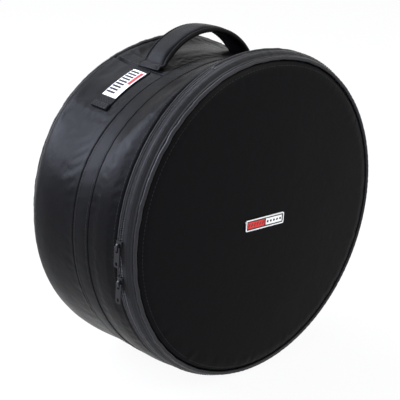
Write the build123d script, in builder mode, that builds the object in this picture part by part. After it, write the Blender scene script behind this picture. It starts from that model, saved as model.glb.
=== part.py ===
from build123d import *
import os
from math import atan2, cos, degrees, radians, sin, sqrt, tan

# Drum bag standing on its rim: the bag's axis runs along Y, the lid faces -Y and the
# origin lies on the floor under the middle of the bag. Lengths are in millimetres.
# Angles go around the axis, from zero at the top towards +X.

os.makedirs("parts", exist_ok=True)

# Overall size of a padded bag for a drum of 14 by 6.5 inches
bag_radius = 200
bag_depth = 200
panel_crown = 8
rest_dip = 3
shoulder_reach = 34
rear_shoulder_reach = 22
top_sag = 26
saddle_drop = 50
saddle_front_reach = 70
saddle_front_rise = 23
saddle_rear_reach = 90
saddle_rear_rise = 16.5

# Layers of the padded cloth
cloth = 1
foam = 8
lining = 0.6
overrun = 2

# Seams at the two rims
rim_inset = 10.5
piping_radius = 2.2
binding_reach = 8

# Zip, whose middle lies a little behind the front rim
zip_setback = 16
zip_inset = 3.4
coil_width = 2.5
coil_height = 3
coil_gap = 1.2
tape = 0.8
welt_width = 2.4
welt_roll = 0.5
coil_round = 0.8
gusset_bulge = 1.8
hinge_width = 165
stop_length = 4
clearance = 0.3

# Sliders and their pulls
slider_width = 8.4
slider_plate = 1.3
slider_length = 14.4
slider_clearance = 0.65
plate_clearance = 0.4
post_width = 0.6
bridge_length = 9
bridge_height = 3.4
bridge_width = 2.6
bridge_corner = 1.2
slot_length = 4.4
slot_height = 1.8
slot_corner = 0.6
pull_pin_radius = 0.75
pull_length = 22
pull_width = 8.4
pull_thickness = 1.5
pull_eye_length = 5.6
pull_arm_gap = 1.9
pull_hole_radius = 2
pull_corner = 2.5
upper_angle = -89.5
lower_angle = -101.5

# Handle: a padded strap bent over the rear half of the wall
handle_place = 31
handle_width = 38
handle_bend = 88
handle_rise = 7.5
handle_thickness = 8
handle_edge = 3
handle_foot_rise = 10
handle_lean_angle = 25
webbing = 2
webbing_width = 30
handle_end_thickness = 2
handle_flap_inside = 12
handle_flap_outside = 8.5
panel_seam_reach = 9

# Band sewn over the middle seam, woven tag behind it and the label on the lid
band_width = 25
band_thickness = 0.8
tag_place = 32
tag_width = 25
tag_angle = -28.5
tag_length = 63
fold_length = 8
tag_thickness = 1.2
fold_thickness = 2.4
label_width = 62
label_height = 13.5
label_thickness = 1.6
label_corner = 1.5
label_side = -4
label_rise = 0
label_border = 1
label_recess = 0.4

# Places worked out from the sizes above
axis_height = bag_radius - rest_dip
rim_radius = bag_radius - rim_inset
zip_radius = bag_radius - zip_inset
half_depth = bag_depth / 2
rim_place = half_depth - panel_crown
face_place = half_depth - label_thickness
zip_place = zip_setback - rim_place
coil_edge = zip_place + coil_gap / 2
coil_back = coil_edge + coil_width
welt_start = coil_back + clearance
wall_start = welt_start + welt_width
foam_start = wall_start + overrun
lid_coil_edge = zip_place - coil_gap / 2
lid_coil_front = lid_coil_edge - coil_width
gusset_start = lid_coil_front - clearance / 2
tape_top = zip_radius - coil_height
tape_bottom = tape_top - tape
plate_top = tape_bottom - plate_clearance
cover_bottom = zip_radius + slider_clearance
cover_top = cover_bottom + slider_plate
pin_radius = cover_top + bridge_height / 2
seam_radius = rim_radius - piping_radius
rear_face = rim_place - foam + cloth
lid_face = foam - lining - rim_place
mouth_radius = zip_radius - cloth - foam - lining
lid_foam_radius = seam_radius - clearance
lid_binding_radius = rim_radius + cloth - clearance
back_lining_radius = rim_radius + 2 * cloth - foam
lid_tape_front = gusset_start - cloth

# Angles of the zip's ends, its stops and half a slider
full_turn_angle = 360
hinge_angle = degrees(hinge_width / 2 / zip_radius)
end_angle = hinge_angle - degrees(stop_length / zip_radius)
slider_angle = degrees(slider_length / 2 / zip_radius)
coil_angle = full_turn_angle - 2 * hinge_angle

# Saddle that cuts the sagging top, and where the bent strap meets it
saddle_radius = bag_radius - top_sag + saddle_drop
saddle_front = saddle_radius + saddle_front_rise
saddle_rear = saddle_radius + saddle_rear_rise
strap_centre = bag_radius + handle_rise - handle_bend
strap_middle = handle_bend - handle_thickness / 2
saddle_gap = strap_centre + saddle_drop
foot_rise = (saddle_radius ** 2 - strap_middle ** 2 + saddle_gap ** 2) / (2 * saddle_gap) - saddle_drop
foot_side = sqrt(strap_middle ** 2 - (foot_rise - strap_centre) ** 2)
handle_foot_height = axis_height + foot_rise + handle_foot_rise
flap_start_angle = -degrees(atan2(foot_side + handle_flap_outside, foot_rise))
flap_end_angle = -degrees(atan2(foot_side - handle_flap_inside, foot_rise))
panel_angle = degrees(atan2(foot_side + panel_seam_reach, foot_rise))
tag_radius = bag_radius - top_sag / 2
tag_end_angle = tag_angle - degrees(tag_length / tag_radius)
fold_angle = tag_end_angle - degrees(fold_length / tag_radius)

bag_axis = Axis((0, 0, axis_height), (0, 1, 0))


# Planes
def across(place):
    """Plane across the bag's axis, seen from the lid's side."""
    return Plane(origin=(0, place, axis_height), x_dir=(1, 0, 0), z_dir=(0, -1, 0))


def beside(angle):
    """Plane through the axis at an angle, with the radius along its x and the axis along its y."""
    turn = radians(angle)
    return Plane(origin=(0, 0, axis_height), x_dir=(sin(turn), 0, cos(turn)), z_dir=(-cos(turn), 0, sin(turn)))


def along_rim(angle, place):
    """Plane across the axis whose y points outward at an angle."""
    turn = radians(angle)
    return Plane(origin=(0, place, axis_height), x_dir=(cos(turn), 0, -sin(turn)), z_dir=(0, -1, 0))


# The wall's form: a drum with soft shoulders, cut by a saddle where its top sags
saddle_axis = Axis((0, 0, axis_height - saddle_drop), (0, 1, 0))


def wall_form(inset):
    """Solid out to the wall's surface, set inward by a layer's depth and flat where the bag rests."""
    with BuildPart() as saddle:
        with BuildSketch(Plane.XY.offset(axis_height - saddle_drop)):
            with BuildLine():
                lowest = (saddle_radius - inset, 0)
                front_top = (saddle_front - inset, -saddle_front_reach)
                rear_top = (saddle_rear - inset, saddle_rear_reach)
                TangentArc(lowest, front_top, tangent=(0, -1))
                TangentArc(lowest, rear_top, tangent=(0, 1))
                Polyline(
                    front_top,
                    (saddle_front - inset, -half_depth),
                    (0, -half_depth),
                    (0, half_depth),
                    (saddle_rear - inset, half_depth),
                    rear_top,
                )
            make_face()
        revolve(axis=saddle_axis)
    with BuildPart() as form:
        with BuildSketch(Plane.XY.offset(axis_height)):
            with BuildLine():
                front = (zip_radius - inset, wall_start)
                front_end = (bag_radius - inset, wall_start + shoulder_reach)
                rear_start = (bag_radius - inset, rim_place - rear_shoulder_reach)
                rear = (rim_radius + cloth - inset, rim_place - piping_radius)
                TangentArc(front_end, front, tangent=(0, -1))
                Line(front_end, rear_start)
                TangentArc(rear_start, rear, tangent=(0, 1))
                Polyline(rear, (0, rim_place - piping_radius), (0, wall_start), front)
            make_face()
        revolve(axis=bag_axis)
        add(saddle.part, mode=Mode.INTERSECT)
        split(bisect_by=Plane.XY.offset(max(inset, 0)), keep=Keep.TOP)
    return form.part


outer_form = wall_form(0)
foam_form = wall_form(cloth)
lining_form = wall_form(cloth + foam)
cavity_form = wall_form(cloth + foam + lining)


def sector(start_angle, end_angle):
    """Outline across the axis that holds everything between two angles, for narrow sectors."""
    far = 2 * bag_radius
    start = (far * sin(radians(start_angle)), far * cos(radians(start_angle)))
    end = (far * sin(radians(end_angle)), far * cos(radians(end_angle)))
    with BuildSketch() as outline:
        with BuildLine():
            Polyline((0, 0), start, end, close=True)
        make_face()
    return outline.sketch


with BuildPart() as panel_wedge:
    with BuildSketch(across(0)):
        add(sector(-panel_angle, panel_angle))
    extrude(amount=-half_depth)


# Outer cloth of the wall
with BuildPart() as front_wall:
    add(outer_form)
    add(foam_form, mode=Mode.SUBTRACT)
    split(bisect_by=Plane.XZ, keep=Keep.TOP)
front_wall.part.label = "front_wall"
export_step(front_wall.part, "parts/front_wall.step")

with BuildPart() as rear_wall:
    add(outer_form)
    add(foam_form, mode=Mode.SUBTRACT)
    split(bisect_by=Plane.XZ, keep=Keep.BOTTOM)
    add(panel_wedge.part, mode=Mode.SUBTRACT)
rear_wall.part.label = "rear_wall"
export_step(rear_wall.part, "parts/rear_wall.step")

with BuildPart() as handle_panel:
    add(outer_form)
    add(foam_form, mode=Mode.SUBTRACT)
    add(panel_wedge.part, mode=Mode.INTERSECT)
handle_panel.part.label = "handle_panel"
export_step(handle_panel.part, "parts/handle_panel.step")


# Band sewn on in front of the middle seam
band_form = wall_form(-band_thickness)

with BuildPart() as seam_band:
    add(band_form)
    add(outer_form, mode=Mode.SUBTRACT)
    split(bisect_by=Plane.XZ, keep=Keep.TOP)
    split(bisect_by=Plane.XZ.offset(band_width), keep=Keep.BOTTOM)
seam_band.part.label = "seam_band"
export_step(seam_band.part, "parts/seam_band.step")


# Padding of the wall, in two panels that meet at the middle seam, and its lining
with BuildPart() as front_wall_foam:
    add(foam_form)
    add(lining_form, mode=Mode.SUBTRACT)
    split(bisect_by=Plane.XZ.offset(-foam_start), keep=Keep.BOTTOM)
    split(bisect_by=Plane.XZ, keep=Keep.TOP)
front_wall_foam.part.label = "front_wall_foam"
export_step(front_wall_foam.part, "parts/front_wall_foam.step")

with BuildPart() as rear_wall_foam:
    add(foam_form)
    add(lining_form, mode=Mode.SUBTRACT)
    split(bisect_by=Plane.XZ, keep=Keep.BOTTOM)
    split(bisect_by=Plane.XZ.offset(-rear_face), keep=Keep.TOP)
rear_wall_foam.part.label = "rear_wall_foam"
export_step(rear_wall_foam.part, "parts/rear_wall_foam.step")

with BuildPart() as wall_lining:
    add(lining_form)
    add(cavity_form, mode=Mode.SUBTRACT)
    split(bisect_by=Plane.XZ.offset(-foam_start), keep=Keep.BOTTOM)
    split(bisect_by=Plane.XZ.offset(-rear_face + lining), keep=Keep.TOP)
wall_lining.part.label = "wall_lining"
export_step(wall_lining.part, "parts/wall_lining.step")


# Crowned end panels, nearly flat in the middle and rounder towards the rim
crown_bend_share = 0.82
crown_drop_share = 0.36


def crown_line(side, top, low):
    """Two arcs from the top of a crown at the axis to its low edge at the rim, on the side of the given sign."""
    bend = (seam_radius * crown_bend_share, side * (top - (top - low) * crown_drop_share))
    with BuildLine() as crown:
        middle = TangentArc((0, side * top), bend, tangent=(1, 0))
        TangentArc(bend, (seam_radius, side * low), tangent=middle % 1)
    return crown.line


def cloth_panel(side, top):
    """Half section of a panel's outer cloth."""
    with BuildSketch(beside(0)) as section:
        with BuildLine():
            add(crown_line(side, top, rim_place))
            add(crown_line(side, top - cloth, rim_place - cloth))
            Line((0, side * top), (0, side * (top - cloth)))
            Line((seam_radius, side * rim_place), (seam_radius, side * (rim_place - cloth)))
        make_face()
    return section.sketch


def foam_panel(side, top, flat, radius):
    """Half section of a panel's padding, flat towards the inside of the bag."""
    with BuildSketch(beside(0)) as section:
        with BuildLine():
            add(crown_line(side, top - cloth, rim_place - cloth))
            Polyline(
                (seam_radius, side * (rim_place - cloth)),
                (radius, side * (rim_place - 2 * cloth)),
                (radius, flat),
                (0, flat),
                (0, side * (top - cloth)),
            )
        make_face()
    return section.sketch


with BuildPart() as back_panel:
    add(cloth_panel(1, half_depth))
    revolve(axis=bag_axis)
back_panel.part.label = "back_panel"
export_step(back_panel.part, "parts/back_panel.step")

with BuildPart() as back_foam:
    add(foam_panel(1, half_depth, rear_face, seam_radius + cloth))
    revolve(axis=bag_axis)
    add(handle_panel.part, mode=Mode.SUBTRACT)
back_foam.part.label = "back_foam"
export_step(back_foam.part, "parts/back_foam.step")

with BuildPart() as lid_panel:
    add(cloth_panel(-1, face_place))
    revolve(axis=bag_axis)
lid_panel.part.label = "lid_panel"
export_step(lid_panel.part, "parts/lid_panel.step")

with BuildPart() as lid_foam:
    add(foam_panel(-1, face_place, lid_face, lid_foam_radius))
    revolve(axis=bag_axis)
lid_foam.part.label = "lid_foam"
export_step(lid_foam.part, "parts/lid_foam.step")


def ring_section(inner, outer, start, end):
    """Half section of a plain ring between two radii and two places along the axis."""
    with BuildSketch(beside(0)) as section:
        with BuildLine():
            Polyline((inner, start), (outer, start), (outer, end), (inner, end), close=True)
        make_face()
    return section.sketch


with BuildPart() as back_lining:
    add(ring_section(0, back_lining_radius, rear_face - lining, rear_face))
    revolve(axis=bag_axis)
    add(lining_form, mode=Mode.INTERSECT)
back_lining.part.label = "back_lining"
export_step(back_lining.part, "parts/back_lining.step")

with BuildPart() as lid_lining:
    add(ring_section(0, lid_foam_radius, lid_face, lid_face + lining))
    revolve(axis=bag_axis)
lid_lining.part.label = "lid_lining"
export_step(lid_lining.part, "parts/lid_lining.step")


# Corded piping sewn into both rims
with BuildPart() as back_piping:
    with BuildSketch(beside(0)):
        with Locations((rim_radius, rim_place)):
            Circle(piping_radius)
    revolve(axis=bag_axis)
back_piping.part.label = "back_piping"
export_step(back_piping.part, "parts/back_piping.step")

with BuildPart() as lid_piping:
    with BuildSketch(beside(0)):
        with Locations((rim_radius, -rim_place)):
            Circle(piping_radius)
    revolve(axis=bag_axis)
lid_piping.part.label = "lid_piping"
export_step(lid_piping.part, "parts/lid_piping.step")


# Bound seam edges inside the bag
with BuildPart() as mouth_binding:
    add(ring_section(mouth_radius, tape_bottom, wall_start, foam_start))
    revolve(axis=bag_axis)
mouth_binding.part.label = "mouth_binding"
export_step(mouth_binding.part, "parts/mouth_binding.step")

with BuildPart() as back_binding:
    with BuildSketch(beside(0)):
        with BuildLine():
            corner = (back_lining_radius, rear_face - lining)
            outer_end = (back_lining_radius, rear_face - lining - binding_reach)
            inner_end = (back_lining_radius - binding_reach, rear_face - lining)
            Polyline(corner, outer_end, inner_end, close=True)
        make_face()
    revolve(axis=bag_axis)
    add(cavity_form, mode=Mode.INTERSECT)
back_binding.part.label = "back_binding"
export_step(back_binding.part, "parts/back_binding.step")

with BuildPart() as lid_binding:
    add(ring_section(lid_foam_radius, lid_binding_radius, clearance - rim_place + piping_radius, lid_face))
    revolve(axis=bag_axis)
lid_binding.part.label = "lid_binding"
export_step(lid_binding.part, "parts/lid_binding.step")


# Folded edges on both sides of the zip
with BuildPart() as zip_welt:
    with BuildSketch(beside(0)):
        with BuildLine():
            Polyline(
                (tape_top, welt_start),
                (zip_radius - welt_roll, welt_start),
                (zip_radius, welt_start + welt_roll),
                (zip_radius, wall_start),
                (zip_radius - cloth, wall_start),
                (zip_radius - cloth, foam_start),
                (tape_top, foam_start),
                close=True,
            )
        make_face()
    revolve(axis=bag_axis)
    add(front_wall.part, mode=Mode.SUBTRACT)
zip_welt.part.label = "zip_welt"
export_step(zip_welt.part, "parts/zip_welt.step")

with BuildPart() as lid_gusset:
    with BuildSketch(beside(0)):
        with BuildLine():
            hem_top = (zip_radius - cloth, gusset_start)
            seam_reach = piping_radius * sin(radians(45))
            seam_end = (rim_radius + seam_reach, seam_reach - rim_place)
            bend = ((hem_top[0] + seam_end[0]) / 2 + gusset_bulge, (hem_top[1] + seam_end[1]) / 2)
            allowance = (rim_radius + cloth, clearance - rim_place + piping_radius)
            ThreePointArc(hem_top, bend, seam_end)
            Polyline(seam_end, allowance, (tape_top, lid_tape_front), (tape_top, gusset_start), hem_top)
        make_face()
    revolve(axis=bag_axis)
lid_gusset.part.label = "lid_gusset"
export_step(lid_gusset.part, "parts/lid_gusset.step")


# Zip: tapes and coils run around the rim but for the hinge at the top
with BuildPart() as body_zip_tape:
    with BuildSketch(beside(hinge_angle)):
        with Locations((tape_top - tape / 2, (coil_edge + foam_start) / 2)):
            Rectangle(tape, foam_start - coil_edge)
    revolve(axis=bag_axis, revolution_arc=coil_angle)
body_zip_tape.part.label = "body_zip_tape"
export_step(body_zip_tape.part, "parts/body_zip_tape.step")

with BuildPart() as lid_zip_tape:
    with BuildSketch(beside(hinge_angle)):
        with Locations((tape_top - tape / 2, (lid_coil_edge + lid_tape_front) / 2)):
            Rectangle(tape, lid_coil_edge - lid_tape_front)
    revolve(axis=bag_axis, revolution_arc=coil_angle)
lid_zip_tape.part.label = "lid_zip_tape"
export_step(lid_zip_tape.part, "parts/lid_zip_tape.step")

coil_middle = zip_radius - coil_height / 2

with BuildPart() as body_zip_coil:
    with BuildSketch(beside(hinge_angle)):
        with Locations((coil_middle, (coil_edge + coil_back) / 2)):
            RectangleRounded(coil_height, coil_width, coil_round)
    revolve(axis=bag_axis, revolution_arc=coil_angle)
body_zip_coil.part.label = "body_zip_coil"
export_step(body_zip_coil.part, "parts/body_zip_coil.step")

with BuildPart() as lid_zip_coil:
    with BuildSketch(beside(hinge_angle)):
        with Locations((coil_middle, (lid_coil_edge + lid_coil_front) / 2)):
            RectangleRounded(coil_height, coil_width, coil_round)
    revolve(axis=bag_axis, revolution_arc=coil_angle)
lid_zip_coil.part.label = "lid_zip_coil"
export_step(lid_zip_coil.part, "parts/lid_zip_coil.step")

# Metal stops at both ends of each coil
with BuildPart() as zip_stops:
    for angle in (end_angle, -hinge_angle):
        with BuildSketch(beside(angle)):
            with Locations((coil_middle, (coil_edge + coil_back) / 2)):
                Rectangle(coil_height, coil_width)
        revolve(axis=bag_axis, revolution_arc=hinge_angle - end_angle)
zip_stops.part.label = "zip_stops"
export_step(zip_stops.part, "parts/zip_stops.step")

with BuildPart() as lid_zip_stops:
    for angle in (end_angle, -hinge_angle):
        with BuildSketch(beside(angle)):
            with Locations((coil_middle, (lid_coil_edge + lid_coil_front) / 2)):
                Rectangle(coil_height, coil_width)
        revolve(axis=bag_axis, revolution_arc=hinge_angle - end_angle)
lid_zip_stops.part.label = "lid_zip_stops"
export_step(lid_zip_stops.part, "parts/lid_zip_stops.step")

# Cloth strip that carries the lid between the ends of the zip
with BuildPart() as hinge_strip:
    with BuildSketch(beside(-end_angle)):
        strip_end = gusset_start + clearance / 2
        with Locations((zip_radius - 1.5 * cloth, (welt_start + strip_end) / 2)):
            Rectangle(cloth, welt_start - strip_end)
    revolve(axis=bag_axis, revolution_arc=2 * end_angle)
hinge_strip.part.label = "hinge_strip"
export_step(hinge_strip.part, "parts/hinge_strip.step")


# Zip sliders, each with a bridge for its pull
for side, angle in (("upper", upper_angle), ("lower", lower_angle)):
    with BuildPart() as slider:
        with BuildSketch(beside(angle - slider_angle)):
            cover_middle = cover_top - slider_plate / 2
            with Locations((cover_middle, zip_place), (plate_top - slider_plate / 2, zip_place)):
                Rectangle(slider_plate, slider_width)
            with Locations(((plate_top + cover_bottom) / 2, zip_place)):
                Rectangle(cover_bottom - plate_top, post_width)
        revolve(axis=bag_axis, revolution_arc=2 * slider_angle)
        with BuildSketch(along_rim(angle, zip_place)):
            with BuildLine():
                bridge_top = cover_top + bridge_height
                Polyline(
                    (-bridge_length / 2, cover_middle),
                    (-bridge_length / 2, bridge_top - bridge_corner),
                    (bridge_corner - bridge_length / 2, bridge_top),
                    (bridge_length / 2 - bridge_corner, bridge_top),
                    (bridge_length / 2, bridge_top - bridge_corner),
                    (bridge_length / 2, cover_middle),
                    close=True,
                )
            make_face()
            with Locations((0, pin_radius)):
                RectangleRounded(slot_length, slot_height, slot_corner, mode=Mode.SUBTRACT)
        extrude(amount=bridge_width / 2, both=True)
    slider.part.label = f"{side}_slider"
    export_step(slider.part, f"parts/{side}_slider.step")

    with BuildPart() as pull:
        pin_x = pin_radius * sin(radians(angle))
        pin_z = pin_radius * cos(radians(angle)) + axis_height
        with BuildSketch(Plane(origin=(pin_x, zip_place, pin_z), x_dir=(0, 0, 1), z_dir=(-1, 0, 0))):
            with Locations((-pull_length / 2, 0)):
                outline = Rectangle(pull_length, pull_width)
            fillet(outline.vertices().group_by(Axis.X)[0], pull_corner)
            with Locations((-pull_eye_length / 2, 0)):
                Rectangle(pull_eye_length, 2 * pull_arm_gap, mode=Mode.SUBTRACT)
            with Locations((pull_hole_radius * 2 - pull_length, 0)):
                Circle(pull_hole_radius, mode=Mode.SUBTRACT)
        extrude(amount=pull_thickness / 2, both=True)
        with BuildSketch(across(zip_place)):
            with Locations((pin_x, pin_z - axis_height)):
                Circle(pull_pin_radius)
        extrude(amount=pull_width / 2, both=True)
    pull.part.label = f"{side}_pull"
    export_step(pull.part, f"parts/{side}_pull.step")


# Handle: the sleeve is cut away at its feet so that it can lean without meeting the wall
lean_plane = Plane(origin=(0, handle_place, handle_foot_height), x_dir=(0, 1, 0), z_dir=(1, 0, 0))
lean_rise = handle_width * tan(radians(handle_lean_angle))

with BuildPart() as lean_wedges:
    with BuildSketch(lean_plane):
        for reach in (handle_width, -handle_width):
            with BuildLine():
                Polyline((0, 0), (reach, 0), (reach, lean_rise), close=True)
            make_face()
    extrude(amount=handle_bend, both=True)

with BuildPart() as handle_webbing:
    with BuildSketch(across(handle_place - webbing_width / 2)):
        with Locations((0, strap_centre)):
            Circle(handle_bend - (handle_thickness - webbing) / 2)
            Circle(handle_bend - (handle_thickness + webbing) / 2, mode=Mode.SUBTRACT)
    extrude(amount=-webbing_width)
    split(bisect_by=Plane.XY.offset(handle_foot_height), keep=Keep.TOP)
    add(lean_wedges.part, mode=Mode.SUBTRACT)
handle_webbing.part.label = "handle_webbing"
export_step(handle_webbing.part, "parts/handle_webbing.step")

with BuildPart() as strap_form:
    with BuildSketch(across(handle_place - handle_width / 2)):
        with Locations((0, strap_centre)):
            Circle(handle_bend)
            Circle(handle_bend - handle_thickness, mode=Mode.SUBTRACT)
    extrude(amount=-handle_width)
    fillet(strap_form.edges().filter_by(GeomType.CIRCLE), handle_edge)

with BuildPart() as handle_sleeve:
    add(strap_form.part)
    split(bisect_by=Plane.XY.offset(handle_foot_height), keep=Keep.TOP)
    add(lean_wedges.part, mode=Mode.SUBTRACT)
    add(handle_webbing.part, mode=Mode.SUBTRACT)
handle_sleeve.part.label = "handle_sleeve"
export_step(handle_sleeve.part, "parts/handle_sleeve.step")

# Sewn ends: a stub of the strap that rises from a flap on the wall
end_form = wall_form(-handle_end_thickness)

with BuildPart() as end_block:
    with BuildSketch(across(handle_place - handle_width / 2)):
        add(sector(flap_start_angle, flap_end_angle))
    extrude(amount=-handle_width)

with BuildPart() as left_handle_end:
    add(strap_form.part)
    split(bisect_by=Plane.XY.offset(handle_foot_height - clearance), keep=Keep.BOTTOM)
    split(bisect_by=Plane.XY.offset(axis_height + bag_radius / 2), keep=Keep.TOP)
    split(bisect_by=Plane.YZ, keep=Keep.BOTTOM)
    end_flap = end_form & end_block.part
    add(end_flap)
    add(outer_form, mode=Mode.SUBTRACT)
left_handle_end.part.label = "left_handle_end"
export_step(left_handle_end.part, "parts/left_handle_end.step")

with BuildPart() as right_handle_end:
    mirror(left_handle_end.part, about=Plane.YZ)
right_handle_end.part.label = "right_handle_end"
export_step(right_handle_end.part, "parts/right_handle_end.step")


# Woven tag lying on the wall behind the middle seam, with a folded end
for name, thickness, start, end in (
    ("side_tag", tag_thickness, tag_angle, tag_end_angle),
    ("tag_end", fold_thickness, tag_end_angle, fold_angle),
):
    with BuildPart() as tag_block:
        with BuildSketch(across(tag_place - tag_width / 2)):
            add(sector(start, end))
        extrude(amount=-tag_width)

    tag_form = wall_form(-thickness)
    with BuildPart() as tag_piece:
        add(tag_form)
        add(tag_block.part, mode=Mode.INTERSECT)
        add(outer_form, mode=Mode.SUBTRACT)
    tag_piece.part.label = name
    export_step(tag_piece.part, f"parts/{name}.step")


# Moulded label near the middle of the lid, with a raised border
with BuildPart() as front_label:
    with BuildSketch(across(-face_place)):
        with Locations((label_side, label_rise)):
            RectangleRounded(label_width, label_height, label_corner)
    extrude(amount=label_thickness)
    with BuildSketch(across(label_recess - half_depth)):
        with Locations((label_side, label_rise)):
            field_width = label_width - 2 * label_border
            field_height = label_height - 2 * label_border
            RectangleRounded(field_width, field_height, label_corner - label_border / 2)
    extrude(amount=label_recess, mode=Mode.SUBTRACT)
front_label.part.label = "front_label"
export_step(front_label.part, "parts/front_label.step")
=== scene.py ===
"""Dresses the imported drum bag: cloth, thread, zip, print and materials, under studio light."""
import math

import bmesh
import bpy
import numpy as np
from mathutils import Matrix, Vector


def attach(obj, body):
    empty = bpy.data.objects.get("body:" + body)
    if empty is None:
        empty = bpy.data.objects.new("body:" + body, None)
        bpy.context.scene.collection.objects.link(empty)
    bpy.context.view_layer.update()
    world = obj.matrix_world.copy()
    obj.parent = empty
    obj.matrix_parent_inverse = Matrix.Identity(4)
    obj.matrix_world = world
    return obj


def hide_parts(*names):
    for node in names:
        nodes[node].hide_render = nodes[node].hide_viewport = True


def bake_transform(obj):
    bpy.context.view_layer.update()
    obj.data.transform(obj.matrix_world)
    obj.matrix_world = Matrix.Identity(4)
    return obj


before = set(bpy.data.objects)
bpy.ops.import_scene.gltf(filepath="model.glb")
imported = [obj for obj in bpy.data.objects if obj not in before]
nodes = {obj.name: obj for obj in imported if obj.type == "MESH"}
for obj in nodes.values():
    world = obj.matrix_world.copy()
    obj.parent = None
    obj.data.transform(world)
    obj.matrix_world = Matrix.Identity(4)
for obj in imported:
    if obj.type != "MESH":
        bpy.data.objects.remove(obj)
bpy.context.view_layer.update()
scene = bpy.context.scene

# Sizes of the bag in metres and its clock angles in degrees, the same as in the frame
AXIS = 0.197
BAG = 0.2
RIM = 0.1895
RIM_PLACE = 0.092
FACE = 0.0984
ZIP_RADIUS = 0.1966
ZIP_PLACE = -0.076
WALL_FRONT = -0.0702
WALL_REAR = 0.0898
SHOULDER = 0.034
REAR_SHOULDER = 0.022
CLOTH = 0.001
FOAM = 0.008
PIPING = 0.0022
FOOT_LIFT = 0.0014
HINGE_ANGLE = 24.04
STRIP_ANGLE = 22.88
PANEL_ANGLE = 26.71
BAND_WIDTH = 0.025
HANDLE_PLACE = 0.031
HANDLE_WIDTH = 0.038
HANDLE_BEND = 0.088
HANDLE_THICKNESS = 0.008
STRAP_CENTRE = AXIS + 0.1195
TAG_PLACE = 0.032
TAG_WIDTH = 0.025
TAG_THICKNESS = 0.0012
TAG_ANGLES = (-28.5, -47.8, -50.25)
LABEL = (-0.004, 0.0)
SADDLE = 0.224
SADDLE_DROP = 0.05
FRONT_ARC = 0.118
REAR_ARC = 0.2537
BACK_FACE = 0.1
TAPE = 0.1932
LABEL_FRONT = 0.1001
LABEL_FLOOR = 0.0996

# How the cloth departs from those forms. A bump has a height, a middle and a reach
FRONT_DROOP = (0.002, 0, 30)
REAR_DROOP = (0.007, -16, 48)
SLACK = (
    ((0.0032, -122, 46), (0.06, 0.06)),
    ((0.0016, -95, 50), (-0.002, 0.05)),
    ((0.003, -90, 42), (0.052, 0.05)),
    ((0.002, -152, 24), (0.06, 0.05)),
)
FOLD = 0.00022
PUCKER = 0.00016
PUCKER_REACH = 0.016
TUCK_REACH = 0.02
SAG_BLEND = 0.008
FOOT_BLEND = 0.0008
FOOT_COSINE = 0.3
SEAM_GROOVE = 0.0014

# Camera: the photograph's viewing angle, distance and slight roll
AZIMUTH = math.radians(-44.14)
ELEVATION = math.radians(17.75)
ROLL = math.radians(3.77)
DISTANCE = 1.2
FOCAL = 983.0
FRAME = 400.0
SENSOR = 36.0
AIM = Vector((0.0, -0.002, AXIS))
AIM_PIXEL = (9.8, -1.2)

back = Vector((
    math.sin(AZIMUTH) * math.cos(ELEVATION),
    -math.cos(AZIMUTH) * math.cos(ELEVATION),
    math.sin(ELEVATION),
))
level = Vector((0, 0, 1)).cross(back).normalized()
upward = back.cross(level)
right = math.cos(ROLL) * level + math.sin(ROLL) * upward
up = math.cos(ROLL) * upward - math.sin(ROLL) * level
eye = AIM + DISTANCE * back
aim = AIM - right * (AIM_PIXEL[0] / FOCAL * DISTANCE) + up * (AIM_PIXEL[1] / FOCAL * DISTANCE)
look = (eye - aim).normalized()
across = up.cross(look).normalized()
camera_data = bpy.data.cameras.new("camera")
camera_data.sensor_width = SENSOR
camera_data.lens = FOCAL / FRAME * SENSOR
camera = bpy.data.objects.new("camera", camera_data)
turned = Matrix((across, look.cross(across), look)).transposed().to_4x4()
camera.matrix_world = Matrix.Translation(eye) @ turned
scene.collection.objects.link(camera)
scene.camera = camera
scene.view_settings.view_transform = "Standard"


# World and floor
WORLD_COLOR = (0.8, 0.82, 0.86, 1)
WORLD_STRENGTH = 0.95
FLOOR_COLOR = (0.86, 0.86, 0.86, 1)
FLOOR_REACH = 8.0
FLOOR_WHITE = 0.93


def white_to_camera(tree, kinds, color, strength):
    """Shows white where the camera or a mirror looks, and a shader of a color to other rays."""
    nodes_of, links = tree.nodes, tree.links
    nodes_of.clear()
    lit, white, output = (nodes_of.new("ShaderNode" + kind) for kind in kinds)
    lit.inputs["Color"].default_value = color
    white.inputs["Color"].default_value = (1, 1, 1, 1)
    white.inputs["Strength"].default_value = 1.0
    path = nodes_of.new("ShaderNodeLightPath")
    seen = path.outputs["Is Camera Ray"]
    for ray in ("Is Glossy Ray", "Is Transmission Ray"):
        either = nodes_of.new("ShaderNodeMath")
        either.operation = "MAXIMUM"
        links.new(seen, either.inputs[0])
        links.new(path.outputs[ray], either.inputs[1])
        seen = either.outputs[0]
    share = nodes_of.new("ShaderNodeMath")
    share.operation = "MULTIPLY"
    share.inputs[1].default_value = strength
    links.new(seen, share.inputs[0])
    mix = nodes_of.new("ShaderNodeMixShader")
    links.new(share.outputs[0], mix.inputs[0])
    links.new(lit.outputs[0], mix.inputs[1])
    links.new(white.outputs[0], mix.inputs[2])
    links.new(mix.outputs[0], output.inputs[0])
    return lit


world = bpy.data.worlds.new("studio")
scene.world = world
world.use_nodes = True
world_kinds = ("Background", "Background", "OutputWorld")
dim = white_to_camera(world.node_tree, world_kinds, WORLD_COLOR, 1.0)
dim.inputs["Strength"].default_value = WORLD_STRENGTH

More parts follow.
